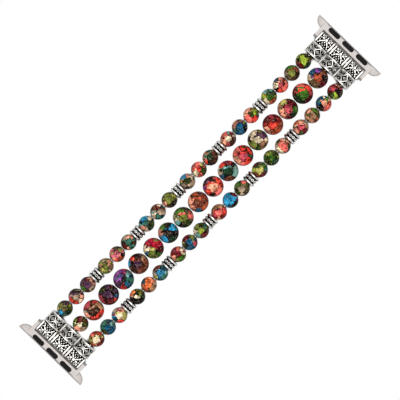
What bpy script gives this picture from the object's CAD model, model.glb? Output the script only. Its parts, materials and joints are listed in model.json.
"""Beaded watch band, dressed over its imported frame: stone, antique silver, satin steel and elastic."""
import json
import math
import random

import bmesh
import bpy
from mathutils import Matrix, Vector
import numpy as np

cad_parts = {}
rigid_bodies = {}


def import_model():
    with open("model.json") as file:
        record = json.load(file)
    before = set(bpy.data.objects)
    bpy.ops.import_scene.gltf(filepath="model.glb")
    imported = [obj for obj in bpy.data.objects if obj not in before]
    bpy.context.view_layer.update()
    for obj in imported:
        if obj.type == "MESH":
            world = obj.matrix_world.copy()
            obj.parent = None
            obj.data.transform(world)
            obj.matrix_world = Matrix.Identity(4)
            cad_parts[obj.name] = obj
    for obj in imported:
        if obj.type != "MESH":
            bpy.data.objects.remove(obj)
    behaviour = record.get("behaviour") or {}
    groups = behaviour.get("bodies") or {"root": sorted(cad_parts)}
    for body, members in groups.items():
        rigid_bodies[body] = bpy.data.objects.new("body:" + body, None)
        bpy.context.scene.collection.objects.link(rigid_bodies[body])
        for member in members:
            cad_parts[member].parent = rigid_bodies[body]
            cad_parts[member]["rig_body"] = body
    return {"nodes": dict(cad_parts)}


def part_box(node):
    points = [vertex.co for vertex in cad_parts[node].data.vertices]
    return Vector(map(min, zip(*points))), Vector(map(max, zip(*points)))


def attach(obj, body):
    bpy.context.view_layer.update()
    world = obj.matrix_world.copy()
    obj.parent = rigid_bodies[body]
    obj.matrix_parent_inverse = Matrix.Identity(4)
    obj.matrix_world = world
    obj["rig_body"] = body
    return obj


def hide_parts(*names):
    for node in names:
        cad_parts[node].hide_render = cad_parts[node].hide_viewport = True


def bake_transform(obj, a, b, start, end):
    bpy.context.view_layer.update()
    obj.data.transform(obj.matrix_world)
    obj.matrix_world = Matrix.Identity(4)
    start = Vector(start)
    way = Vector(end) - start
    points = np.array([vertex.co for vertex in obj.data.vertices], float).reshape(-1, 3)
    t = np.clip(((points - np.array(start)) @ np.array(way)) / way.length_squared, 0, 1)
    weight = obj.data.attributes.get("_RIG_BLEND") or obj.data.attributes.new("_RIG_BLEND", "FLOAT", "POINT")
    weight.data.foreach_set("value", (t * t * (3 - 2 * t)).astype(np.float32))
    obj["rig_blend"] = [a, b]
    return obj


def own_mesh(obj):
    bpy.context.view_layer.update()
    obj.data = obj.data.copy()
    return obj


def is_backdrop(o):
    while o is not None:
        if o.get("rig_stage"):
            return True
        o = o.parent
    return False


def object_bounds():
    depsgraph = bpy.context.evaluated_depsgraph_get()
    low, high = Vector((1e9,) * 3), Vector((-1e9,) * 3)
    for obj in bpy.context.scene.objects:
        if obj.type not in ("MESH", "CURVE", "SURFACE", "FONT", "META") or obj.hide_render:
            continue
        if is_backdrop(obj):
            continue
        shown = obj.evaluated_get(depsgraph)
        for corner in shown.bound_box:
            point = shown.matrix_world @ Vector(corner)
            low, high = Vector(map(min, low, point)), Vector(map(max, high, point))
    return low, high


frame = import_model()
cad_low, cad_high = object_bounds()
MM = 0.001


# Camera: straight above the band on a long lens, and rolled, so that the band runs from
# the lower left corner of the picture to the upper right one.
PICTURE_PX = 400
PX_PER_MM = 2.67
CAMERA_HEIGHT = 700 * MM
SENSOR_WIDTH = 36
BAND_RUN_PX = (0.6944, 0.7196)


def placed(name, data):
    """A new object in the scene."""
    made = bpy.data.objects.new(name, data)
    bpy.context.scene.collection.objects.link(made)
    return made


camera = placed("camera", bpy.data.cameras.new("camera"))
camera.data.sensor_width = SENSOR_WIDTH
camera.data.lens = SENSOR_WIDTH * (CAMERA_HEIGHT - cad_high.z / 2) / (PICTURE_PX / PX_PER_MM * MM)
camera.location = (0, 0, CAMERA_HEIGHT)
camera.rotation_euler = (0, 0, -math.atan2(BAND_RUN_PX[1], BAND_RUN_PX[0]))
bpy.context.scene.camera = camera


# Stone beads: rounds of dyed mixed jasper, about 8 mm in the middle strand and 6 mm in the
# outer ones. Each is cut from a block of pressed fragments, drilled, and tumbled to a soft polish.
HOLE_R = 0.6 * MM
HOLE_CHAMFER = 0.12 * MM
ARC_STEPS = 22
ROUND_STEPS = 44
PATCHES = 10
PATCH_TILT = math.radians(50)
# Where the two patches underneath lie, seen from the bead's centre
UNDERSIDE = ((0.35, -0.3, -0.89), (-0.55, 0.4, -0.73))
COMPASS = {"n": 0, "nw": 45, "w": 90, "sw": 135, "s": 180, "se": 225, "e": 270, "ne": 315}
TONES = {
    "black": "#1E141A", "pine": "#1E4630", "umber": "#4A2C22", "garnet": "#701C28", "moss": "#3E4C1C",
    "petrol": "#14607C", "russet": "#824A38", "mauve": "#5A3C56", "brick": "#9E342E", "khaki": "#6E6046",
    "leaf": "#4E7C2C", "sea": "#3C7668", "rose": "#B4525E", "clay": "#A88468", "coral": "#E25346",
    "olive": "#808844", "rust": "#B26246", "lilac": "#9A58A6", "sage": "#88B0A8", "sky": "#3CA2C6",
    "sand": "#B6A28C", "lime": "#A0B24A", "salmon": "#E87E74", "straw": "#C0BA74", "peach": "#E2A68E",
    "cream": "#E4D4B8", "pink": "#D47E88", "crimson": "#BA2E4C", "orange": "#EA8858",
}

# The record's slot that each tone belongs to
FAMILIES = {
    "jasper_red": "brick coral crimson garnet orange pink rose rust salmon",
    "jasper_green": "leaf lime moss olive pine",
    "jasper_teal": "petrol sage sea sky",
    "jasper_tan": "clay cream khaki peach russet sand straw",
    "jasper_plum": "black lilac mauve umber",
}

# Each bead's patches, counted from the end at the upper right of the picture: tone, where it
# lies seen from above with n towards that end, and how far it spreads, in tenths of a radius.
STONES = {
    "left": """
    lime c 3; lime w 1; black n 1; khaki ne; pine e 1; garnet s 1; sea w -2
    olive c 2; russet n 2; umber ne; leaf w 1; sand sw 1; umber e 1; khaki s
    salmon e 2; peach nw 1; cream sw 2; rose c; petrol w 1; brick n; coral se; black s -1
    leaf c 2; pine n 2; rust e 1; sage w; lime sw 1; cream s 1; olive ne
    lime n 3; moss c -1; peach w 2; salmon s 3; coral e 2; cream sw; moss ne
    petrol c 2; petrol se 2; peach w 2; clay sw; lime n -1; mauve nw 1; black ne 1; sea s
    salmon w 2; cream c 1; garnet n 2; peach s 2; rose se 1; sage nw; umber e 2
    russet n 2; pine c 1; sea nw; clay w 1; peach sw 1; umber e 2; black se 1; coral s -1
    moss ne 3; salmon w 2; coral c; cream s 3; peach sw 1; straw n; salmon se
    sand e 3; moss c 1; peach nw 1; sky w 2; cream n; sand s 1; umber se; straw sw
    olive c 4; olive nw 3; straw n 1; black e 3; peach s 2; moss sw; umber se 1
    russet w 1; russet nw 1; sand ne 3; cream s 2; sage sw 1; sea se 2; petrol n -1; petrol e
    sky w 3; moss ne 2; pine e 2; cream n -1; sand se 1; peach s 1; sea c 1; sage sw 1
    sand w 3; sea e 2; sea c 1; peach nw 1; garnet s 1; umber ne 1; umber sw; peach se
    pink c 2; pink sw 3; straw n 2; black ne 1; rust e 2; khaki nw 1; peach s 1; coral se
    straw s 3; olive sw 2; peach n 3; olive se 2; clay ne 1; cream e -1; sand nw; olive c 1
    mauve c 2; mauve w 1; peach n 1; sand e 2; garnet nw 1; leaf s 1; peach ne; umber se
    black nw 2; mauve w 2; sand c 2; cream e 1; coral s 2; pink sw -1; coral se 1; peach ne 1
    khaki c 1; olive w 1; mauve nw 1; moss ne 2; pine e 1; sky s 2; straw sw; sea se 1
    """,
    "middle": """
    rust c 2; russet n 1; lilac nw 1; petrol w 1; black ne 2; cream sw 1; khaki s 2; garnet e 1
    leaf c 4; coral n 3; salmon nw 1; rose ne 1; pine s 1; garnet e 1; garnet sw; straw s
    rose c 2; garnet n 2; leaf ne 2; pine e 1; straw w 1; peach sw 2; peach s 2; garnet se
    coral c 2; garnet w 2; rose nw 2; brick n 1; rust e 3; peach s 1; brick sw; rust se
    cream c 1; mauve n 3; cream w 2; olive s 3; clay e 2; black sw 1; cream ne; leaf se
    rose c 3; coral nw 2; coral n 1; pine ne 2; salmon w 2; coral e 2; peach s 1; salmon se
    pine c 3; sage ne 3; black n 1; coral w 1; rose nw 1; cream sw 2; russet se 2; petrol s 1
    peach c 3; coral n 2; coral s 1; salmon e 2; mauve w 2; lilac sw; umber nw 2; black se
    russet c 5; rust nw 3; peach s 2; petrol se 2; rust e 2; peach sw 1; brick n
    olive c 2; salmon ne 2; leaf w 2; moss e 2; cream sw 2; black se 1; khaki n 1; sage s
    black c 2; sky n 2; umber nw 1; pine e 2; sky s 2; leaf w 1; peach sw 1; black ne 2
    crimson n 4; crimson w 2; garnet ne 2; olive se 3; cream sw 2; petrol s; leaf e 1; straw c -1
    russet e 3; russet ne 2; umber nw 2; mauve c 1; coral w -1; sky sw -1; clay n 1; umber s 1
    sage n 1; petrol e 2; sea ne 2; lilac w 4; coral nw 1; coral se 1; mauve s 2; black c -1
    black n 3; mauve c 2; mauve nw 1; garnet se 3; rose s 1; coral e -1; moss w; petrol ne -1
    umber c 3; clay n 1; rose w 2; coral e 2; peach s 1; coral se 1; cream sw -1; russet nw 1
    moss ne 3; garnet nw 2; cream c 1; peach s 2; leaf sw 2; olive w 1; sand e 1; moss n 1
    """,
    "right": """
    black ne 3; rose w 2; garnet nw 1; peach n -1; lime se 2; garnet sw; moss s 1; black e 1
    salmon e 2; peach c 1; leaf n 2; petrol w 2; petrol sw 1; black s 1; coral ne; cream nw -1
    clay c 3; clay s 2; leaf n 3; peach w 1; rust e; peach se; moss ne
    rose c 2; peach nw 2; cream n; garnet e 1; rust w 1; peach s 1; moss se 1; clay ne
    salmon c 4; peach nw 1; moss ne 1; cream s 2; moss w; sand sw 1; peach n 1
    leaf c 1; moss n 1; pine e 2; olive w 1; moss s 2; lime ne -1; straw se -2; leaf sw
    straw c 3; leaf n 1; garnet e 2; sea ne 1; khaki nw 1; umber w 1; russet s; lime sw
    sand c 2; leaf w 2; khaki ne 3; salmon nw; khaki e 2; moss s 1; sand se
    sky c 5; sky w 2; sky s 1; garnet n 2; black e 3; mauve ne; petrol se
    salmon c 3; rose s 1; coral ne 2; clay w 2; clay nw 1; peach se; brick e 1
    lime c 1; olive w 2; moss nw 1; sea n 2; garnet e 2; sage s 1; cream sw 1; khaki ne
    petrol c 2; petrol se 3; garnet w 2; olive n 2; rose ne 1; moss s 1; straw sw -1; sage nw -1
    cream n 3; rose w 1; garnet c 1; peach s 1; salmon nw 1; leaf e 2; olive se 1; brick sw
    sky c 2; petrol n 1; sage ne 1; sea e 2; russet w 2; cream sw 1; petrol se 1; straw s
    orange c 2; orange nw 2; clay e 3; peach n 1; russet se 1; petrol w -1; rust s 2; sand ne
    black se 3; black s 1; cream c -1; olive n 2; moss nw 1; orange w 1; pine ne 1; black e 1
    cream c 3; straw ne 3; rose nw 1; sand w 1; sky sw 2; coral se 1; petrol s 1; peach n
    petrol e 3; sea w 2; sea sw 1; petrol c 1; umber nw; coral se -2; moss s 1; sage n
    cream c 4; straw sw 2; garnet ne 3; coral n 1; rust nw 1; salmon w 1; brick e 2; rust s 1
    """,
}


def paint(code):
    """Linear colour of an sRGB hex code."""
    parts = [int(code[i:i + 2], 16) / 255 for i in (1, 3, 5)]
    return [c / 12.92 if c <= 0.04045 else ((c + 0.055) / 1.055) ** 2.4 for c in parts] + [1]


def feed(node, inputs):
    """Sets a node's inputs, as values on its own sockets or as links from others."""
    for name, value in inputs.items():
        if isinstance(value, bpy.types.NodeSocket):
            node.id_data.links.new(value, node.inputs[name])
        else:
            node.inputs[name].default_value = value


def adder(tree):
    """The function that adds a node to one tree and gives its outputs. A kind may name its operation
    too. The inputs come in the node's own order, or by name or number in a dict."""
    def add(kind, *inputs, **settings):
        kind, *operation = kind.split()
        made = tree.nodes.new("ShaderNode" + kind)
        if operation:
            made.operation = operation[0]
        for name, value in settings.items():
            setattr(made, name, value)
        named = inputs and isinstance(inputs[0], dict)
        feed(made, inputs[0] if named else dict(enumerate(inputs)))
        return made.outputs
    return add


def material(name):
    """A new material, the function that adds its nodes, and its shader."""
    made = bpy.data.materials.new(name)
    made.use_nodes = True
    return made, adder(made.node_tree), made.node_tree.nodes["Principled BSDF"]


def mixed(add, share, under, over):
    """A blend of two colours, by the share of the second."""
    return add("Mix", {0: share, 6: under, 7: over}, data_type="RGBA")[2]


def body_of(node):
    return frame["nodes"][node]["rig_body"]


def mesh_of(name, bm):
    """The mesh of a bmesh, which is used up."""
    mesh = bpy.data.meshes.new(name)
    bm.to_mesh(mesh)
    bm.free()
    return mesh


def piece(name, bm, finish, slot, *nodes, crease=35, rides=True):
    """Makes a finished mesh a piece that stands for its CAD nodes and rides on their body."""
    mesh = mesh_of(name, bm)
    mesh.shade_smooth()
    mesh.set_sharp_from_angle(angle=math.radians(crease))
    mesh.materials.append(finish)
    made = placed(name, mesh)
    if rides:
        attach(made, body_of(nodes[0]))
    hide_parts(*nodes)
    return made


def numbered(name):
    """The CAD nodes of one name, in the order of their numbers."""
    return [f"{name}_{i + 1}" for i in range(sum(node.startswith(name) for node in frame["nodes"]))]


def weld(bm, gap):
    """Joins vertices that lie in one place."""
    bmesh.ops.remove_doubles(bm, verts=bm.verts, dist=gap)


def face_out(bm):
    """Turns all faces outwards."""
    bmesh.ops.recalc_face_normals(bm, faces=bm.faces)


def solids(node):
    """(centre, size) of each separate solid of a CAD node, from the +X end."""
    bm = bmesh.new()
    bm.from_mesh(frame["nodes"][node].data)
    weld(bm, 1e-7)
    found, seen = [], set()
    for first in bm.verts:
        if first in seen:
            continue
        seen.add(first)
        front, points = [first], []
        while front:
            vert = front.pop()
            points.append(vert.co)
            for edge in vert.link_edges:
                other = edge.other_vert(vert)
                if other not in seen:
                    seen.add(other)
                    front.append(other)
        low, high = Vector(map(min, *points)), Vector(map(max, *points))
        found.append(((low + high) / 2, high - low))
    bm.free()
    return sorted(found, key=lambda solid: -solid[0].x)


def spin_round(bm, outline, axis, steps, centre=(0, 0, 0)):
    """Spins an outline through a full turn."""
    bmesh.ops.spin(bm, geom=outline, cent=centre, axis=axis, angle=math.tau, steps=steps, use_merge=True)


def drilled_bead(centre, radius):
    """A round bead, drilled along X, with a small chamfer at each mouth of the hole."""
    bm = bmesh.new()
    rim = math.asin((HOLE_R + HOLE_CHAMFER) / radius)
    first = bm.verts.new(centre + radius * Vector((-math.cos(rim), 0, math.sin(rim))))
    bmesh.ops.spin(bm, geom=[first], cent=centre, axis=(0, 1, 0), angle=math.pi - 2 * rim, steps=ARC_STEPS)
    ends = sorted((v for v in bm.verts if len(v.link_edges) == 1), key=lambda v: v.co.x)
    mouths = [
        bm.verts.new((end.co.x + side * HOLE_CHAMFER, centre.y, centre.z + HOLE_R))
        for end, side in zip(ends, (1, -1))
    ]
    for pair in ((ends[0], mouths[0]), mouths, (mouths[1], ends[1])):
        bm.edges.new(pair)
    spin_round(bm, bm.verts[:] + bm.edges[:], (1, 0, 0), ROUND_STEPS, centre)
    face_out(bm)
    return bm


def patches_of(words):
    """(tone, direction, spread) of each patch, and two more for the underside."""
    patches = []
    for words_of_one in words.split(";"):
        tone, where, *spread = words_of_one.split()
        tilt = 0 if where == "c" else PATCH_TILT
        turn = math.radians(COMPASS.get(where, 0))
        at = Vector((math.sin(tilt) * math.cos(turn), math.sin(tilt) * math.sin(turn), math.cos(tilt)))
        patches.append((tone, at, int(spread[0]) / 10 if spread else 0))
    return patches + [(patches[i][0], Vector(at), 0.2) for i, at in enumerate(UNDERSIDE)]


def jasper():
    """Each fragment has one dyed colour, mottled inside, and meets the next at a crisp edge that
    holds a dark seam here and there. Patterns are in bead radii, 3 or 4 mm."""
    made, add, shader = material("polished_mixed_jasper")
    at = add("Attribute", attribute_name="stone_at")["Vector"]
    seed = add("Attribute", attribute_name="stone_seed")["Vector"]
    place = add("VectorMath ADD", at, seed)[0]

    # The fragments' outlines wander broadly, by 2 mm, and finely, by 0.6 mm
    bent = add("VectorMath SUBTRACT", at, (0.335, 0.335, 0.335))[0]
    for scale, detail, reach in ((1.7, 2.0, 0.5), (6.0, 3.0, 0.17)):
        noise = add("TexNoise", {"Vector": place, "Scale": scale, "Detail": detail})["Color"]
        bent = add("VectorMath MULTIPLY_ADD", noise, [reach] * 3, bent)[0]

    # The nearest fragment gives the colour, and the second nearest tells how far off the edge is
    nearest = second = 99.0
    colour = (0, 0, 0, 1)
    for i in range(PATCHES):
        tone = add("Attribute", attribute_name=f"tone_{i}")
        site = add("Attribute", attribute_name=f"site_{i}")["Vector"]
        away = add("VectorMath DISTANCE", bent, site)["Value"]
        here = add("Math SUBTRACT", away, tone["Alpha"])[0]
        lead = add("Math SUBTRACT", nearest, here)[0]
        wins = add("MapRange", lead, -0.05, 0.05)[0]
        colour = mixed(add, wins, colour, tone["Color"])
        farther = add("Math MAXIMUM", here, nearest)[0]
        second = add("Math MINIMUM", farther, second)[0]
        nearest = add("Math MINIMUM", here, nearest)[0]

    # Fragments a millimetre or so across, in the bead's other tones
    chip = add("SeparateColor", add("TexVoronoi", {"Vector": bent, "Scale": 2.4})["Color"])
    for i, rare in enumerate((0.93, 0.94, 0.95)):
        share = add("Math GREATER_THAN", chip[i], rare)[0]
        tone = add("Attribute", attribute_name=f"tone_{i + 1}")["Color"]
        colour = mixed(add, share, colour, tone)

    # Mottling at 0.5 mm and clouds at 1.5 mm, in lightness and a little in hue
    broad = add("TexNoise", {"Vector": place, "Scale": 1.6})[0]
    broad = add("MapRange", broad, 0.36, 0.64, 0.55, 1.45)[0]
    grain = add("TexNoise", {"Vector": place, "Scale": 7.5, "Detail": 4.0, "Roughness": 0.7})
    light = add("MapRange", grain[0], 0.37, 0.63, 0.7, 1.32)[0]
    light = add("Math MULTIPLY", light, broad)[0]
    tint = add("SeparateColor", grain["Color"])["Blue"]
    hue = add("MapRange", tint, 0.3, 0.7, 0.47, 0.53)[0]
    mottled = {"Hue": hue, "Saturation": 1.02, "Value": light, "Color": colour}
    colour = add("HueSaturation", mottled)[0]

    # Pale flecks of 0.3 mm, where the fragments themselves are mixed
    fleck = add("TexNoise", {"Vector": bent, "Scale": 6.5})[0]
    fleck = add("MapRange", fleck, 0.53, 0.68, 0, 0.34)[0]
    colour = mixed(add, fleck, colour, paint("#E6D3BA"))

    # Dark seams along some edges, and a dark matrix in a few spots
    edge = add("Math SUBTRACT", second, nearest)[0]
    fade = {0: edge, 1: 0.03, 2: 0.11, 3: 1, 4: 0}
    seam = add("MapRange", fade, interpolation_type="SMOOTHSTEP")[0]
    broken = add("TexNoise", {"Vector": place, "Scale": 2.2, "Detail": 1.0})[0]
    broken = add("MapRange", broken, 0.38, 0.48, 0, 0.95)[0]
    seam = add("Math MULTIPLY", seam, broken)[0]
    matrix = {"Vector": place, "Scale": 3.0, "Detail": 4.0, "Roughness": 0.65}
    spots = add("TexNoise", matrix)[0]
    spots = add("MapRange", spots, 0.57, 0.64, 0, 0.95)[0]
    dark = add("Math MAXIMUM", seam, spots)[0]

    # Dye gathers round the two mouths of the hole
    along = add("SeparateXYZ", at)["X"]
    along = add("Math ABSOLUTE", along)[0]
    mouth = add("MapRange", along, 0.84, 0.97, 0, 0.85)[0]
    dark = add("Math MAXIMUM", dark, mouth)[0]
    colour = mixed(add, dark, colour, paint("#160D10"))

    # The polish deepens the dark tones and clears the pale ones
    colour = add("Gamma", {"Color": colour, "Gamma": 1.3})[0]
    colour = add("VectorMath MULTIPLY", colour, (1.24, 1.24, 1.24))[0]
    rough = add("MapRange", tint, 0.3, 0.7, 0.18, 0.32)[0]
    polished = {"Base Color": colour, "Roughness": rough, "IOR": 1.54, "Specular IOR Level": 0.04}
    feed(shader, polished)
    return made


def dye(bead, centre, radius, words, seed):
    """Writes a bead's own coordinates and its patches to its mesh, where the stone reads them."""
    mesh = bead.data
    count = len(mesh.vertices)
    at = mesh.attributes.new("stone_at", "FLOAT_VECTOR", "POINT")
    for i, vert in enumerate(mesh.vertices):
        at.data[i].vector = (vert.co - centre) / radius
    own = {"stone_seed": [seed.uniform(-20, 20) for _ in range(3)]}
    patches = patches_of(words)
    for i in range(PATCHES):
        tone, site, spread = patches[i] if i < len(patches) else (patches[0][0], Vector((9, 9, 9)), 0)
        own[f"site_{i}"] = list(site)
        own[f"tone_{i}"] = paint(TONES[tone])[:3] + [spread]
    for name, value in own.items():
        kind, field = ("FLOAT_COLOR", "color") if len(value) == 4 else ("FLOAT_VECTOR", "vector")
        mesh.attributes.new(name, kind, "POINT").data.foreach_set(field, value * count)


stone = jasper()
chance = random.Random(7)

# What is strung on each strand: centre, reach along the cord and body
strands = {"left": [], "middle": [], "right": []}
for node in numbered("bead_row"):
    for centre, size in solids(node):
        strand = "middle" if abs(centre.y) < MM else "left" if centre.y > 0 else "right"
        number, radius = len(strands[strand]), size.y / 2
        words = STONES[strand].strip().splitlines()[number]
        family = next(slot for slot, tones in FAMILIES.items() if words.split()[0] in tones.split())
        bead = piece(f"stone_{strand}_{number + 1:02d}", drilled_bead(centre, radius), stone, family, node)
        dye(bead, centre, radius, words, chance)
        strands[strand].append((centre, radius, body_of(node)))


# Spacers: cast antique silver wheels of 5 mm between the groups of small beads, each with two
# bright rims, a toothed edge on both sides of each, and eleven small rings round the middle.
TOOTH_COUNT = 22
GRANULES = 11
SPACER_STEPS = 132
GROOVE = 0.58
OUTER_TOOTH = 0.16 * MM
INNER_TOOTH = 0.3 * MM


def antique_silver():
    """Cast base silver, dipped in black oxide and rubbed bright again on all that stands proud.
    The meshes say how far each place stands proud in their own attribute, polish. The rubbing
    varies over 0.7 mm, and the casting's pits are 0.24 mm apart."""
    made, add, shader = material("antique_silver")
    place = add("TexCoord")["Object"]
    polish = add("Attribute", attribute_name="polish")["Fac"]
    wear = add("TexNoise", {"Vector": place, "Scale": 1.4 / MM, "Detail": 3.0})[0]
    wear = add("Math MULTIPLY_ADD", wear, 0.5, polish)[0]
    bright = add("MapRange", wear, 0.55, 0.95)[0]
    colour = mixed(add, bright, paint("#120F0D"), paint("#F4F2ED"))
    rough = add("MapRange", {0: bright, 3: 0.62, 4: 0.27})[0]
    pits = add("TexNoise", {"Vector": place, "Scale": 4.2 / MM})[0]
    bump = add("Bump", {"Height": pits, "Strength": 0.25, "Distance": 0.03 * MM})[0]
    feed(shader, {"Base Color": colour, "Roughness": rough, "Normal": bump, "Metallic": 1})
    return made


def spun(bm, profile, steps):
    """Spins a closed outline of (along, radius, polish), in mm, round the X axis."""
    shine = bm.verts.layers.float["polish"]
    outline = []
    for along, radius, polish in profile:
        outline.append(bm.verts.new((along * MM, 0, radius * MM)))
        outline[-1][shine] = polish
    edges = [bm.edges.new((outline[i - 1], outline[i])) for i in range(len(outline))]
    spin_round(bm, outline + edges, (1, 0, 0), steps)
    face_out(bm)


def both_ends(half, side):
    """A profile from end to end, from (depth below the end, radius, polish) at one of them."""
    first = [(depth - half, out, polish) for depth, out, polish in side]
    return first + [(-along, out, polish) for along, out, polish in reversed(first)]


def silver_mesh():
    bm = bmesh.new()
    bm.verts.layers.float.new("polish")
    return bm


def ring(bm, major, minor, matrix, steps=12):
    """A round wire bent to a ring that lies flat in its own XY plane."""
    shine = bm.verts.layers.float["polish"]
    before = set(bm.verts)
    stand = Matrix.Translation((major, 0, 0)) @ Matrix.Rotation(math.pi / 2, 4, "X")
    circle = bmesh.ops.create_circle(bm, segments=6, radius=minor, matrix=stand)["verts"]
    spin_round(bm, circle + list({edge for vert in circle for edge in vert.link_edges}), (0, 0, 1), steps)
    made = [v for v in bm.verts if v not in before]
    for vert in made:
        vert[shine] = 1
    bmesh.ops.transform(bm, matrix=matrix, verts=made)


def spacer_mesh(length, outer_r):
    """length over the rims and radius over them, in mm."""
    half, core = length / 2, outer_r - GROOVE
    side = [
        (0.2, 0.6, 0.1), (0.17, core, 0.1), (0, core + 0.15, 0.3), (0.08, outer_r - 0.24, 0.3),
        (0.18, outer_r - 0.1, 0.9), (0.26, outer_r - 0.06, 1), (0.6, outer_r - 0.06, 1),
        (0.68, outer_r - 0.03, 0.8), (0.72, outer_r, 0.2), (0.84, outer_r - 0.1, 0.1),
        (0.92, core + 0.12, 0.2), (1.02, core, 0.0), (1.3, core, 0.0),
    ]
    bm = silver_mesh()
    spun(bm, both_ends(half, side), SPACER_STEPS)
    for vert in bm.verts:
        turn = math.atan2(vert.co.y, vert.co.z)
        radius = math.hypot(vert.co.y, vert.co.z)
        inward = half - abs(vert.co.x) / MM
        depth = 0
        if inward < 0.12 and radius > (core + 0.1) * MM:
            depth = OUTER_TOOTH
        elif 0.7 < inward < 0.95:
            depth = INNER_TOOTH
        shift = depth * (math.cos(TOOTH_COUNT * turn) - 1) / 2
        vert.co.y *= (radius + shift) / radius
        vert.co.z *= (radius + shift) / radius
    face_out(bm)
    lift = Matrix.Translation((0, 0, (core + 0.16) * MM))
    for i in range(GRANULES):
        ring(bm, 0.4 * MM, 0.19 * MM, Matrix.Rotation(i * math.tau / GRANULES, 4, "X") @ lift)
    return bm


silver = antique_silver()
for number, node in enumerate(numbered("spacer_pair"), 1):
    for centre, size in solids(node):
        strand = "left" if centre.y > 0 else "right"
        bm = spacer_mesh(size.x / MM, size.y / 2 / MM)
        turn = Matrix.Rotation(chance.uniform(0, math.tau), 4, "X")
        bmesh.ops.transform(bm, matrix=Matrix.Translation(centre) @ turn, verts=bm.verts)
        piece(f"spacer_{strand}_{number}", bm, silver, "antique_silver", node, crease=50)
        strands[strand].append((centre, size.x / 2 - 0.2 * MM, body_of(node)))


# Drum beads: hollow cast antique silver drums, three at each end, that hide the knots. Two plain
# rims frame six diamonds with four dots each, with crossed lines and hatched corners between them.
RELIEF = 0.3
DRUM_RIM = 0.5
DRUM_WALL = 1.4
DRUM_PLATE = 1.2
DRUM_HOLE_R = 1.6
DRUM_STEPS = 96
DIAMONDS = 6

# Width, height and polish of the lines in the pattern
DIAMOND_LINE = (0.3, 0.27, 1)
CROSS_LINE = (0.2, 0.2, 0.8)
HATCH_LINE = (0.15, 0.18, 0.7)

# Degrees that each drum has turned on its cord
DRUM_TURNS = {
    "drum_a_left": 12, "drum_a_middle": -9, "drum_a_right": -4,
    "drum_b_left": 25, "drum_b_middle": 5, "drum_b_right": 38,
}


def strip(bm, start, end, width, height, polish):
    """A raised line on the flat pattern, in mm, with sloping sides and enough cuts to be bent."""
    shine = bm.verts.layers.float["polish"]
    start, end = Vector(start), Vector(end)
    run = end - start
    cuts = 3 if run.length > 0.8 else 0
    grid = bmesh.ops.create_grid(bm, x_segments=cuts + 1, y_segments=3, size=0.5)["verts"]
    for vert in grid:
        crown = abs(vert.co.y) < 0.3
        vert[shine] = polish if crown else polish * 0.3
        vert.co.y *= 2.2 if crown else 1
        vert.co.z = 1 if crown else 0
    matrix = (
        Matrix.Translation(((start.x + end.x) / 2, (start.y + end.y) / 2, -0.04))
        @ Matrix.Rotation(math.atan2(run.y, run.x), 4, "Z")
        @ Matrix.Diagonal((run.length, width, height + 0.04, 1))
    )
    bmesh.ops.transform(bm, matrix=matrix, verts=grid)


def dot(bm, x, y, radius, height):
    """A raised granule on the flat pattern."""
    shine = bm.verts.layers.float["polish"]
    matrix = Matrix.Translation((x, y, 0)) @ Matrix.Diagonal((radius, radius, height, 1))
    for vert in bmesh.ops.create_icosphere(bm, subdivisions=2, radius=1, matrix=matrix)["verts"]:
        vert[shine] = 1


def drum_mesh(length, outer_r):
    """The pattern is made flat, in mm, for one diamond, repeated, and bent round the drum."""
    half, ground = length / 2, outer_r - RELIEF
    bm = silver_mesh()
    cell = math.tau * ground / DIAMONDS
    reach, wide = half - DRUM_RIM - 0.08, cell * 0.37
    corners = [(reach, 0), (0, wide), (-reach, 0), (0, -wide)]
    for j in range(4):
        strip(bm, corners[j - 1], corners[j], *DIAMOND_LINE)
    for x, y in ((0.33, 0), (-0.33, 0), (0, 0.4), (0, -0.4)):
        dot(bm, x, y, 0.25, 0.26)
    for side in (-1, 1):
        strip(bm, (-0.7, cell / 2 - side * 0.42), (0.7, cell / 2 + side * 0.42), *CROSS_LINE)
        for end in (-1, 1):
            for step in (0.0, 0.45):
                spread, tip = 0.62 - step * 0.62, end * (reach - step)
                strip(bm, (tip, cell / 2 + side * spread), (tip - end * 0.28, cell / 2), *HATCH_LINE)
            dot(bm, end * (reach - 0.16), side * wide * 0.62, 0.22, 0.22)
    one = bm.verts[:] + bm.edges[:] + bm.faces[:]
    for i in range(1, DIAMONDS):
        copied = bmesh.ops.duplicate(bm, geom=one)["geom"]
        copied = [item for item in copied if isinstance(item, bmesh.types.BMVert)]
        bmesh.ops.translate(bm, verts=copied, vec=(0, i * cell, 0))
    for vert in bm.verts:
        x, s, h = vert.co
        vert.co = Vector((x, (ground + h) * math.sin(s / ground), (ground + h) * math.cos(s / ground))) * MM
    outer = [
        (0, outer_r - 0.1, 0.9), (0.08, outer_r, 1), (DRUM_RIM - 0.08, outer_r, 1),
        (DRUM_RIM, outer_r - 0.08, 0.9), (DRUM_RIM + 0.03, ground, 0.0), (DRUM_RIM + 0.2, ground, 0.1),
    ]
    profile = [(-half, DRUM_HOLE_R, 0.2)] + both_ends(half, outer) + [
        (half, outer_r - DRUM_WALL, 0.3), (-half + DRUM_PLATE, outer_r - DRUM_WALL, 0.0),
        (-half + DRUM_PLATE, DRUM_HOLE_R, 0.0),
    ]
    spun(bm, profile, DRUM_STEPS)
    return bm


def facing(node):
    """Turns a piece that is made for the +X end to the end that its node is at."""
    low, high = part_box(node)
    centre = (low + high) / 2
    return Matrix.Translation(centre) @ Matrix.Rotation(0 if centre.x > 0 else math.pi, 4, "Z")


for node, turn in DRUM_TURNS.items():
    low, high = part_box(node)
    bm = drum_mesh((high.x - low.x) / MM, (high.y - low.y) / 2 / MM)
    bmesh.ops.transform(bm, matrix=facing(node) @ Matrix.Rotation(math.radians(turn), 4, "X"), verts=bm.verts)
    piece(f"{node}_dressed", bm, silver, "antique_silver", node)


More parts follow.
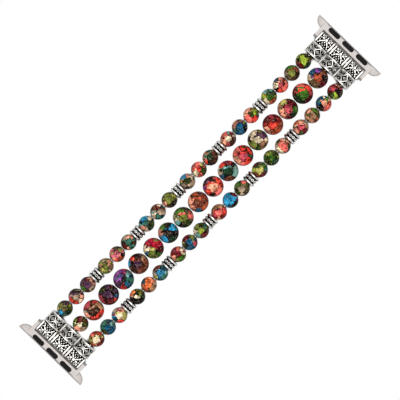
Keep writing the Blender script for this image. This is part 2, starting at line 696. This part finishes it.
# Tile beads: cast antique silver blocks, three at each end, that turn on the spring bar. Each
# broad face is a sunk panel between two bright rims, with a scrolled flower: a boss, splayed and
# curled petals, two rings towards the adapter, and a small ring under an arc towards the drums.
TILE_CORNER = 0.18
CORNER_STEPS = 5
BAR_HOLE_R = 0.85
SLOT_HALF = 0.7
SLOT_R = 1.75
TILE_RIM = 0.62


def soften(bm, geom, offset, segments, **settings):
    """Rounds edges or corners."""
    bmesh.ops.bevel(
        bm, geom=geom, offset=offset, segments=segments, profile=0.5, material=-1, offset_type="OFFSET",
        **{"affect": "EDGES", **settings},
    )


def extruded(bm, face, **settings):
    """Extrudes a face and gives the new end face."""
    grown = bmesh.ops.extrude_face_region(bm, geom=[face], **settings)["geom"]
    return next(item for item in grown if isinstance(item, bmesh.types.BMFace))


def tile_body(width, length):
    """The square block with its rims, sunk panels and bore, in mm, with its bore along Y."""
    bm = silver_mesh()
    shine = bm.verts.layers.float["polish"]
    half = length / 2
    stand = Matrix.Translation((0, -half, 0)) @ Matrix.Rotation(math.pi / 2, 4, "X")
    bmesh.ops.create_grid(bm, x_segments=1, y_segments=1, size=0.5, matrix=stand)
    soften(bm, bm.verts[:], TILE_CORNER, CORNER_STEPS, affect="VERTICES")
    cap = bm.faces[:][0]
    stations = both_ends(half, [
        (0, width - 0.2, 0.6), (0.1, width, 1), (TILE_RIM - 0.1, width, 1), (TILE_RIM, width - 0.14, 0.9),
        (TILE_RIM + 0.03, width - 2 * RELIEF, 0.0), (TILE_RIM + 0.25, width - 2 * RELIEF, 0.15),
    ])
    size = 1.0
    for i, (y, w, polish) in enumerate(stations):
        if i:
            cap = extruded(bm, cap)
        for vert in cap.verts:
            vert.co = Vector((vert.co.x * w / size, y, vert.co.z * w / size))
            vert[shine] = polish
        size = w
    inner = [
        f for f in bm.faces
        if len(f.verts) > 4 and f is not cap and f.calc_center_median().y > -half + 1e-4
    ]
    bmesh.ops.delete(bm, geom=inner, context="FACES_ONLY")
    ends = [f for f in bm.faces if len(f.verts) > 4]
    loops = []
    for face in ends:
        hole = extruded(bm, face)
        for vert in hole.verts:
            out = Vector((vert.co.x, 0, vert.co.z)).normalized() * BAR_HOLE_R
            vert.co = Vector((out.x, vert.co.y, out.z))
            vert[shine] = 0.2
        loops += list(hole.edges)
        bmesh.ops.delete(bm, geom=[hole], context="FACES_ONLY")
    bmesh.ops.delete(bm, geom=[f for f in bm.faces if len(f.verts) > 4], context="FACES_ONLY")
    bmesh.ops.bridge_loops(bm, edges=loops)
    face_out(bm)
    return bm


def slot_cutter():
    """The room for the elastic loop: round the bar, and open towards the drum."""
    bm = bmesh.new()
    lie = Matrix.Rotation(math.pi / 2, 4, "X")
    bmesh.ops.create_cone(
        bm, cap_ends=True, segments=32, radius1=SLOT_R, radius2=SLOT_R, depth=2 * SLOT_HALF, matrix=lie
    )
    drum_side = [v for v in bm.verts if v.co.x < 1e-6]
    for vert in drum_side:
        vert.co.x = -4
        vert.co.z = SLOT_R if vert.co.z > 0 else -SLOT_R
    weld(bm, 1e-5)
    face_out(bm)
    return bm


def cut_away(body, cutter, operation="DIFFERENCE"):
    """The mesh of one bmesh with another one cut out of it, or what the two share."""
    shapes = [placed("cut", mesh_of("cut", bm)) for bm in (body, cutter)]
    saw = shapes[0].modifiers.new("saw", "BOOLEAN")
    saw.operation, saw.solver, saw.object = operation, "EXACT", shapes[1]
    cut = bmesh.new()
    cut.from_object(shapes[0], bpy.context.evaluated_depsgraph_get())
    for shape in shapes:
        bpy.data.objects.remove(shape)
    return cut


def flower(bm, side):
    """The relief on one broad face, in mm, with the adapter towards +X. Its parts are round wires,
    and petals and a boss that are balls rubbed flat on top."""
    shine = bm.verts.layers.float["polish"]

    def at(x, y, turn=0.0):
        return side @ Matrix.Translation((x, y, 0.02)) @ Matrix.Rotation(math.radians(turn), 4, "Z")

    def petal(x, y, along, across, rise, turn=0.0):
        ball = bmesh.ops.create_uvsphere(bm, u_segments=14, v_segments=8, radius=1)["verts"]
        for vert in ball:
            vert[shine] = 1 if vert.co.z > 0.3 else 0.4
            vert.co.z = min(vert.co.z, 0.6)
        matrix = at(x, y, turn) @ Matrix.Diagonal((along, across, rise / 0.6, 1))
        bmesh.ops.transform(bm, matrix=matrix, verts=ball)

    petal(0.7, 0, 0.6, 0.55, 0.4)
    petal(1.65, 0, 0.4, 0.2, 0.26)
    petal(-0.3, 0, 0.48, 0.18, 0.26)
    ring(bm, 0.28, 0.13, at(-1.78, 0))
    for y in (-1, 1):
        ring(bm, 0.42, 0.19, at(1.46, y * 1.3), steps=16)
        petal(1.5, y * 2.12, 0.55, 0.2, 0.3, turn=y * 12)
        petal(0.62, y * 1.3, 0.78, 0.22, 0.32, turn=y * 84)
        petal(0.42, y * 2.25, 0.42, 0.18, 0.28, turn=y * 150)
        petal(-0.22, y * 0.98, 0.95, 0.28, 0.34, turn=y * 132)
        petal(-1.05, y * 1.78, 0.6, 0.26, 0.32, turn=y * 160)
        petal(-0.5, y * 2.2, 0.34, 0.17, 0.26, turn=y * 20)
        petal(-1.75, y * 2.2, 0.3, 0.26, 0.26)
        petal(-1.05, y * 0.62, 0.42, 0.13, 0.22, turn=y * 158)
        petal(-1.9, y * 1.05, 0.24, 0.18, 0.2)


for node in [name for name in frame["nodes"] if name.startswith("tile_")]:
    low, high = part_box(node)
    width, length, height = (high - low) / MM
    bm = cut_away(tile_body(width, length), slot_cutter())
    panel = height / 2 - RELIEF
    for flip in (0, math.pi):
        flower(bm, Matrix.Rotation(flip, 4, "X") @ Matrix.Translation((0, 0, panel)))
    bmesh.ops.transform(bm, matrix=facing(node) @ Matrix.Scale(MM, 4), verts=bm.verts)
    piece(f"{node}_dressed", bm, silver, "antique_silver", node)


# Spring bars: a stainless tube between the ears, rolled over at its ends, with a sprung tip in
# each end. The tube and tips are the frame's own turned shapes; the spring inside is a fine coil.
SPRING_WIRE = 0.09 * MM
SPRING_PITCH = 0.5 * MM
STEPS_PER_TURN = 14


def satin_steel(name, colour, rough, stretch=1.0):
    """Stainless steel, brushed along Y to a satin sheen where the grain is stretched. The real
    grit is near 0.02 mm, and it is drawn at 0.15 mm, so that it shows. Clouds are 6 mm across."""
    made, add, shader = material(name)
    place = add("TexCoord")["Object"]
    lines = add("Mapping", {"Vector": place, "Scale": (1, stretch, 1)})[0]
    grain = add("TexNoise", {"Vector": lines, "Scale": 6.5 / MM})[0]
    tone = add("MapRange", grain, 0.3, 0.7, 0.94, 1.03)[0]
    cloud = add("TexNoise", {"Vector": place, "Scale": 0.16 / MM})[0]
    blend = add("MapRange", cloud, 0.35, 0.65, 0, 0.35)[0]
    warm = mixed(add, blend, paint(colour), paint("#A19996"))
    base = add("HueSaturation", {"Value": tone, "Color": warm})[0]
    dull = add("MapRange", grain, 0.3, 0.7, rough - 0.05, rough + 0.08)[0]
    bump = add("Bump", {"Height": grain, "Strength": 0.15, "Distance": 0.01 * MM})[0]
    feed(shader, {"Base Color": base, "Roughness": dull, "Normal": bump, "Metallic": 1})
    return made


def wire(name, runs, radius, finish, slot, *nodes, rides=True):
    """Round wires or cords along the given runs of points, as one mesh."""
    curve = bpy.data.curves.new(name, "CURVE")
    curve.dimensions = "3D"
    curve.bevel_depth = radius
    curve.bevel_resolution = 2
    curve.use_fill_caps = True
    for points in runs:
        spline = curve.splines.new("POLY")
        spline.points.add(len(points) - 1)
        for point, place in zip(spline.points, points):
            point.co = (*place, 1)
    shape = placed(name, curve)
    bm = bmesh.new()
    bm.from_mesh(bpy.data.meshes.new_from_object(shape.evaluated_get(bpy.context.evaluated_depsgraph_get())))
    bpy.data.objects.remove(shape)
    weld(bm, 1e-7)
    face_out(bm)
    return piece(name, bm, finish, slot, *nodes, crease=60, rides=rides)


def coil(start, axis, length, radius, pitch):
    """Points along a round coil from start, along Y or Z."""
    steps = max(12, round(length / pitch * STEPS_PER_TURN))
    points = []
    for i in range(steps + 1):
        turn = i * math.tau / STEPS_PER_TURN
        side = Vector((math.cos(turn), 0, 0)) + math.sin(turn) * Vector((0, axis[2], axis[1]))
        points.append(start + side * radius + Vector(axis) * length * i / steps)
    return points


bar_steel = satin_steel("turned_spring_bar_steel", "#C2BEB8", 0.28)
spring_steel = satin_steel("spring_wire_steel", "#8F9296", 0.3)
for end in "ab":
    for node in (f"bar_tube_{end}", f"bar_tip_{end}_left", f"bar_tip_{end}_right"):
        for holder in frame["nodes"][node].material_slots:
            holder.material = bar_steel
    node = f"bar_spring_{end}"
    low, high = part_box(node)
    middle = (low + high) / 2
    length, radius = (high.y - low.y) / 2 - 2 * SPRING_WIRE, (high.x - low.x) / 2 - SPRING_WIRE
    for side, sign in (("left", 1), ("right", -1)):
        start = middle + Vector((0, sign * SPRING_WIRE, 0))
        turns = coil(start, (0, sign, 0), length, radius, SPRING_PITCH)
        spring = wire(f"{node}_{side}", [turns], SPRING_WIRE, spring_steel, "spring_steel", node)
        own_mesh(spring)


# Lug adapters: cast and satin brushed stainless frames that slide into the watch case. The long
# outer edges are rounded, the faces of the curved wings fall away to their rims, and the other
# edges are broken.
EAR_SPAN = 24.8 * MM
LUG_BAR = 3.1 * MM
EDGE_BREAK = 0.12 * MM
WING_STEPS = 18
# From a wing's rim inwards: how far out a line on its face lies, as a share of the rim's own
# distance from the wing's corner, and how far below the flat it is there, in mm
WING_FALL = ((1.045, 0.9), (0.965, 0.39), (0.79, 0.235), (0.64, 0.13), (0.46, 0.04), (0.25, -0.03))


def wing_envelope(low, high):
    """A block that holds one adapter, at the +X end, and falls away towards the rims of its wings."""
    bm = bmesh.new()
    clear = EAR_SPAN / 2 + 0.02 * MM
    levels = [(share, low.z + fall * MM) for share, fall in reversed(WING_FALL)]
    levels += [(share, high.z - fall * MM) for share, fall in WING_FALL]
    rings = []
    for share, level in levels:
        outline = [(low.x - MM, clear)]
        for i in range(WING_STEPS + 1):
            turn = math.pi / 2 * i / WING_STEPS
            x = high.x - share * LUG_BAR * math.cos(turn)
            y = EAR_SPAN / 2 + share * (high.y - EAR_SPAN / 2) * math.sin(turn)
            outline.append((x, max(clear, y)))
        outline.append((high.x + MM, outline[-1][1]))
        outline += [(x, -y) for x, y in reversed(outline)]
        rings.append([bm.verts.new((x, y, level)) for x, y in outline])
    for lower, upper in zip(rings, rings[1:]):
        for i in range(len(lower)):
            bm.faces.new((lower[i - 1], lower[i], upper[i], upper[i - 1]))
    bm.faces.new(rings[0])
    bm.faces.new(rings[-1])
    face_out(bm)
    bmesh.ops.triangulate(bm, faces=bm.faces)
    return bm


def lug_mesh(node):
    """The CAD node's own shape, with its flat faces joined again, its inner edges broken, and the
    faces of its wings falling away."""
    low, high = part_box(node)
    bm = bmesh.new()
    bm.from_mesh(frame["nodes"][node].data)
    weld(bm, 1e-6)
    bmesh.ops.dissolve_limit(bm, angle_limit=math.radians(1), verts=bm.verts, edges=bm.edges)
    reach = max(abs(low.x), abs(high.x))
    flat = []
    for edge in bm.edges:
        ends = [v.co for v in edge.verts]
        level = all(min(abs(co.z - low.z), abs(co.z - high.z)) < 1e-6 for co in ends)
        inside = all(abs(co.y) < EAR_SPAN / 2 - 1e-5 and abs(co.x) < reach - 0.5 * MM for co in ends)
        if level and inside and edge.is_manifold and edge.calc_face_angle() > math.radians(40):
            flat.append(edge)
    soften(bm, flat, EDGE_BREAK, 2, clamp_overlap=True)
    weld(bm, 1e-6)
    bmesh.ops.dissolve_degenerate(bm, dist=1e-6, edges=bm.edges)
    bmesh.ops.triangulate(bm, faces=bm.faces)
    near, far = sorted((abs(low.x), abs(high.x)))
    envelope = wing_envelope(Vector((near, low.y, low.z)), Vector((far, high.y, high.z)))
    turn = Matrix.Rotation(0 if low.x > 0 else math.pi, 4, "Z")
    bmesh.ops.transform(envelope, matrix=turn, verts=envelope.verts)
    cut = cut_away(bm, envelope, "INTERSECT")
    weld(cut, 1e-6)
    bmesh.ops.dissolve_limit(cut, angle_limit=math.radians(0.1), verts=cut.verts, edges=cut.edges)
    return cut


lug_steel = satin_steel("satin_brushed_steel", "#AAA5A2", 0.33, stretch=0.04)
for node in ("lug_frame_a", "lug_frame_b"):
    lug = piece(f"{node}_dressed", lug_mesh(node), lug_steel, "satin_steel", node, crease=30)
    lug.modifiers.new("flat_faces", "WEIGHTED_NORMAL").keep_sharp = True


# Inserts: in each adapter a sprung latch of black acetal between two pads of moulded rubber,
# pressed into their pockets. Under the latch stand two small coils.
LATCH_WIRE = 0.08 * MM
LATCH_PITCH = 0.2 * MM
# Share of its height that a coil keeps under the pressed latch
ROUND_END_STEPS = 12
TOP_EDGE = 0.3 * MM


def black_insert(name, colour, rough, grain_mm):
    """A moulded black part, with the fine grain that its mould was blasted with."""
    made, add, shader = material(name)
    place = add("TexCoord")["Object"]
    grain = add("TexNoise", {"Vector": place, "Scale": 1 / (grain_mm * MM)})[0]
    shade = add("MapRange", grain, 0.3, 0.7, 0.7, 1.5)[0]
    base = add("HueSaturation", {"Value": shade, "Color": paint(colour)})[0]
    bump = add("Bump", {"Height": grain, "Strength": 0.3, "Distance": 0.02 * MM})[0]
    feed(shader, {"Base Color": base, "Normal": bump, "Roughness": rough, "Specular IOR Level": 0.11})
    return made


def stadium(bm, centre, size):
    """A bar with round ends, long way along Y, with its upper edge softened."""
    radius, straight = size.x / 2, (size.y - size.x) / 2
    outline = []
    for i in range(2 * ROUND_END_STEPS + 2):
        turn = math.pi * (i - (i > ROUND_END_STEPS)) / ROUND_END_STEPS
        shift = straight if i <= ROUND_END_STEPS else -straight
        place = Vector((radius * math.cos(turn), shift + radius * math.sin(turn), -size.z / 2))
        outline.append(bm.verts.new(centre + place))
    top = extruded(bm, bm.faces.new(outline), use_keep_orig=True)
    bmesh.ops.translate(bm, verts=top.verts, vec=(0, 0, size.z))
    face_out(bm)
    soften(bm, list(top.edges), TOP_EDGE, 4)


acetal = black_insert("black_acetal", "#0B0A0D", 0.3, 0.25)
rubber = black_insert("black_rubber", "#0C0B0C", 0.42, 0.35)
for end in "ab":
    for node, finish in ((f"latch_{end}", acetal), (f"side_pads_{end}", rubber)):
        bm = bmesh.new()
        for centre, size in solids(node):
            stadium(bm, centre, size)
        insert = piece(f"{node}_dressed", bm, finish, "black_insert", node)
        insert.modifiers.new("flat_faces", "WEIGHTED_NORMAL")
    node = f"latch_springs_{end}"
    coils = []
    for centre, size in solids(node):
        foot = centre - Vector((0, 0, size.z / 2 - LATCH_WIRE))
        coils.append(coil(foot, (0, 0, 1), size.z - 2 * LATCH_WIRE, size.x / 2 - LATCH_WIRE, LATCH_PITCH))
    springs = wire(f"{node}_wound", coils, LATCH_WIRE, spring_steel, "spring_steel", node)
    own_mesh(springs)


# Elastic cords: 0.5 mm clear elastic, doubled into one loop for each strand. It passes round both
# spring bars inside the tiles, is knotted inside a drum, and shows only in the gaps between beads.
CORD_R = 0.25 * MM
RUN_HALF = 0.275 * MM
LOOP_PLAY = 0.05 * MM
LOOP_STEPS = 10
# Degrees round the bar, each way from the adapter's side
LOOP_WRAP = 100
# Share of the way from the bar back to the strand
KNOT_AT = 0.62
KNOT_HALF = 0.8 * MM
KNOT_R = 0.34 * MM
KNOT_TURNS = 3


def clear_elastic():
    """Extruded polyurethane: a pale cord with a soft gloss, and a milky haze in spots of 1 mm."""
    made, add, shader = material("clear_elastic_cord")
    place = add("TexCoord")["Object"]
    haze = add("TexNoise", {"Vector": place, "Scale": 0.9 / MM})[0]
    base = mixed(add, haze, paint("#CFCAC0"), paint("#E6E2D8"))
    feed(shader, {"Base Color": base, "Roughness": 0.3, "IOR": 1.5})
    return made


elastic = clear_elastic()
strung = numbered("bead_row") + numbered("spacer_pair")
strung.sort(key=lambda node: -sum(corner.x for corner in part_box(node)))
chain = [body_of(node) for node in strung]
for line in strands.values():
    line.sort(key=lambda strung_on: -strung_on[0].x)


def held(strand):
    """For each body along a strand, the stretch of cord that it holds: (+X end, -X end, bead's reach)."""
    stretches = {}
    for centre, reach, body in strands[strand]:
        first, last, _ = stretches.get(body, (centre.x, centre.x, reach))
        stretches[body] = (max(first, centre.x), min(last, centre.x), reach)
    for i, body in enumerate(chain):
        if body not in stretches:
            before = stretches[chain[i - 1]]
            after = stretches[next(b for b in chain[i:] if b in stretches)]
            middle = (before[1] - before[2] + after[0] + after[2]) / 2
            stretches[body] = (middle + 0.02 * MM, middle - 0.02 * MM, 0)
    return stretches


def two_runs(x0, x1, line):
    """The upper and the lower run of a doubled cord, beside the line through its beads."""
    levels = (line.z + RUN_HALF, line.z - RUN_HALF)
    return [[Vector((x0, line.y, z)), Vector((x1, line.y, z))] for z in levels]


def cord(name, runs, sides, near, far, start, end):
    """One stretch of cord, which bends from one body to the next between two places along X."""
    nodes = [f"elastic_cord_{side}" for side in sides]
    made = wire(name, runs, CORD_R, elastic, "clear_elastic", *nodes, rides=False)
    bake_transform(made, near, far, (start, 0, 0), (end, 0, 0))


for label, sides in (("middle", ["middle"]), ("outer", ["left", "right"])):
    stretches = held(sides[0])
    for i, (near, far) in enumerate(zip(chain, chain[1:])):
        x0 = stretches[near][0]
        x1 = stretches[far][1] if far == chain[-1] else stretches[far][0]
        start = stretches[near][1] - stretches[near][2]
        end = min(stretches[far][0] + stretches[far][2], start - 0.01 * MM)
        runs = [run for side in sides for run in two_runs(x0, x1, strands[side][0][0])]
        cord(f"elastic_{label}_{i + 1:02d}", runs, sides, near, far, start, end)


def round_the_bar(side, end):
    """The two runs from the strand's straight part to the bar, and the loop round it, with the
    knot in the lower run at the +X end."""
    low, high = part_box(f"bar_tube_{end}")
    bar = (low + high) / 2
    tile_low, tile_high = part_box(f"tile_{end}_{side}")
    drum_low, drum_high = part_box(f"drum_{end}_{side}")
    from_x, outward = (drum_low.x, 1) if end == "a" else (drum_high.x, -1)
    upper, lower = [run[0] for run in two_runs(from_x, from_x, strands[side][0][0])]
    reach = (high.z - low.z) / 2 + LOOP_PLAY + CORD_R
    points = [upper]
    for i in range(LOOP_STEPS + 1):
        turn = math.radians(LOOP_WRAP * (1 - 2 * i / LOOP_STEPS))
        x = bar.x + outward * reach * math.cos(turn)
        points.append(Vector((x, (tile_low.y + tile_high.y) / 2, bar.z + reach * math.sin(turn))))
    if end == "a":
        last = points[-1]
        run = lower - last
        for i in range(KNOT_TURNS * STEPS_PER_TURN + 1):
            t = i / (KNOT_TURNS * STEPS_PER_TURN)
            turn = KNOT_TURNS * math.tau * t
            along = KNOT_AT + (t - 0.5) * 2 * KNOT_HALF / run.length
            swell = KNOT_R * math.sin(math.pi * t) ** 0.5
            points.append(last + run * along + swell * Vector((0, math.cos(turn), math.sin(turn))))
    points.append(lower)
    return points


for end, row, inward in (("a", chain[0], 1), ("b", chain[-1], -1)):
    for side in strands:
        centre, reach, _ = strands[side][0 if end == "a" else -1]
        drum_low, drum_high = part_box(f"drum_{end}_{side}")
        near, far = (drum_low.x, drum_high.x) if end == "a" else (drum_high.x, drum_low.x)
        runs = two_runs(near, centre.x, centre)
        cord(f"elastic_{side}_{end}_1", runs, [side], row, f"drums_{end}", centre.x + inward * reach, near)
        bar_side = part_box(f"tile_{end}_{side}")[0 if end == "a" else 1].x
        loop = [round_the_bar(side, end)]
        cord(f"elastic_{side}_{end}_2", loop, [side], f"drums_{end}", f"tiles_{end}", far, bar_side)


# Lamps and stage: a broad soft box that is only mirrored, mostly by the metal, and a small lamp
# beside the camera that only lights. Metal sees a darker ring in the plain white surround.
LAMPS = [((0, 0, 0.9), 1.26, 4.7, True), ((0.02, 0.03, 0.9), 0.3, 8.0, False)]
for place, width, power, mirrored in LAMPS:
    lamp = bpy.data.lights.new("soft_box", "AREA")
    lamp.shape, lamp.size, lamp.energy = "DISK", width, power
    holder = placed("soft_box", lamp)
    holder.location = place
    holder.rotation_euler = (-Vector(place)).to_track_quat("-Z", "Y").to_euler()
    holder.visible_camera = False
    holder.visible_glossy = mirrored
    holder.visible_diffuse = not mirrored


world = bpy.data.worlds.new("surround")
bpy.context.scene.world = world
world.use_nodes = True
tree = world.node_tree
add = adder(tree)
up = add("SeparateXYZ", add("TexCoord")["Generated"])["Z"]
ringed = add("ValToRGB", up)[0]
stops = tree.nodes[-1].color_ramp.elements
for at, level in ((0.25, 1.0), (0.5, 0.6), (0.8, 0.45), (1.0, 0.25)):
    stops.new(at).color = (level, level, level, 1)
stops.remove(stops[0])
rays = add("LightPath")
studio = mixed(add, rays["Is Glossy Ray"], (1, 1, 1, 1), ringed)
seen = add("Math MAXIMUM", rays["Is Camera Ray"], rays["Is Glossy Ray"])[0]
seen = add("Math MAXIMUM", seen, rays["Is Transmission Ray"])[0]
strength = add("MapRange", {0: seen, 3: 0.05, 4: 1.0})[0]
feed(tree.nodes["Background"], {"Color": studio, "Strength": strength})

# The ground is see-through to the camera and the lamps, apart from the shade close to the band, so
# that it hides nothing of the band in its poses. Metal mirrors its upper side as white.
ground, add, shader = material("white_ground")
open_sky = add("AmbientOcclusion", {"Distance": 2 * MM}, samples=16)["AO"]
open_sky = add("MapRange", open_sky, 0.49, 0.62)[0]
rays = add("LightPath")
mirrored = add("Math MULTIPLY", open_sky, rays["Is Glossy Ray"])[0]
shade = mixed(add, mirrored, paint("#3A2A20"), (1, 1, 1, 1))
glow = add("MapRange", {0: rays["Is Glossy Ray"], 3: 1.0, 4: 0.65})[0]
closed = add("Math SUBTRACT", 1.0, open_sky)[0]
above = add("Math SUBTRACT", 1.0, add("NewGeometry")["Backfacing"])[0]
cover = add("Math MULTIPLY", closed, rays["Is Camera Ray"])[0]
cover = add("Math MAXIMUM", cover, rays["Is Glossy Ray"])[0]
cover = add("Math MULTIPLY", cover, above)[0]
feed(shader, {"Base Color": (0.04, 0.04, 0.04, 1), "Roughness": 1, "Specular IOR Level": 0})
feed(shader, {"Emission Color": shade, "Emission Strength": glow, "Alpha": cover})
bm = bmesh.new()
bmesh.ops.create_grid(bm, x_segments=1, y_segments=1, size=1.5)
floor = placed("ground", mesh_of("ground", bm))
floor.data.materials.append(ground)
floor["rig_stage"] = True

bpy.context.scene.view_settings.view_transform = "Standard"

low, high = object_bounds()
